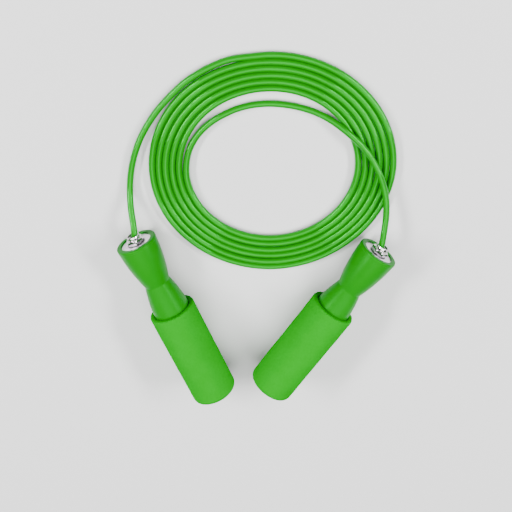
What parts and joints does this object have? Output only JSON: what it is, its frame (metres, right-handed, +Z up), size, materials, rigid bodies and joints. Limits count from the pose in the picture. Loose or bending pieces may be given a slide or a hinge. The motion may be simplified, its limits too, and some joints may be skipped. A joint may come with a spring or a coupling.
{
  "type": "jump rope",
  "caption": "Skipping rope with a thin plastic cord wound in a flat coil and two waisted handles with foam grips and ball bearings in their heads.",
  "frame": {"origin": "on the floor, under the middle of the box round the two handles", "axes": "+Z up, +X from the left handle to the right handle, +Y from the handles to the coil"},
  "size_m": [0.1935, 0.2699, 0.0371],
  "materials": {
    "moulded_plastic": "semi-gloss moulded green plastic",
    "foam": "matt closed-cell green foam",
    "plug_plastic": "matt moulded green plastic",
    "bearing_steel": "ground bearing steel",
    "ball_steel": "polished steel",
    "cage_steel": "pressed steel strip",
    "shield_steel": "bright pressed steel",
    "spindle_chrome": "chromed turned steel",
    "zinc_steel": "zinc plated steel",
    "stop_steel": "crimped aluminium sleeve",
    "cord_pvc": "glossy soft green PVC"
  },
  "bodies": {
    "rope": {"rope_coil": "cord_pvc", "left_rope_lead": "cord_pvc", "right_rope_lead": "cord_pvc", "left_bearing_inner_ring": "bearing_steel", "left_spindle": "spindle_chrome", "left_spindle_washer": "zinc_steel", "left_spindle_nut": "zinc_steel", "left_rope_stop": "stop_steel", "right_bearing_inner_ring": "bearing_steel", "right_spindle": "spindle_chrome", "right_spindle_washer": "zinc_steel", "right_spindle_nut": "zinc_steel", "right_rope_stop": "stop_steel"},
    "left_handle": {"left_handle_shell": "moulded_plastic", "left_foam_grip": "foam", "left_end_plug": "plug_plastic", "left_bearing_outer_ring": "bearing_steel", "left_front_shield": "shield_steel", "left_rear_shield": "shield_steel"},
    "right_handle": {"right_handle_shell": "moulded_plastic", "right_foam_grip": "foam", "right_end_plug": "plug_plastic", "right_bearing_outer_ring": "bearing_steel", "right_front_shield": "shield_steel", "right_rear_shield": "shield_steel"},
    "left_cage": {"left_ball_cage": "cage_steel", "left_bearing_balls": "ball_steel"},
    "right_cage": {"right_ball_cage": "cage_steel", "right_bearing_balls": "ball_steel"}
  },
  "joints": [
    {"name": "left_handle_spin", "type": "hinge", "parent": "rope", "child": "left_handle", "pos_m": [-0.0837, 0.0638, 0.01445], "axis": [0.3775, -0.9251, 0.0397], "continuous": true},
    {"name": "right_handle_spin", "type": "hinge", "parent": "rope", "child": "right_handle", "pos_m": [0.085, 0.0554, 0.01444], "axis": [-0.5485, -0.835, 0.0433], "continuous": true},
    {"name": "left_cage_spin", "type": "hinge", "parent": "rope", "child": "left_cage", "pos_m": [-0.08208, 0.05982, 0.01462], "axis": [0.3775, -0.9251, 0.0397], "continuous": true},
    {"name": "right_cage_spin", "type": "hinge", "parent": "rope", "child": "right_cage", "pos_m": [0.08264, 0.05181, 0.01463], "axis": [-0.5485, -0.835, 0.0433], "continuous": true}
  ],
  "couplings": [
    {"joint": "left_cage_spin", "follows": "left_handle_spin", "ratio": 0.63233},
    {"joint": "right_cage_spin", "follows": "right_handle_spin", "ratio": 0.63233}
  ]
}
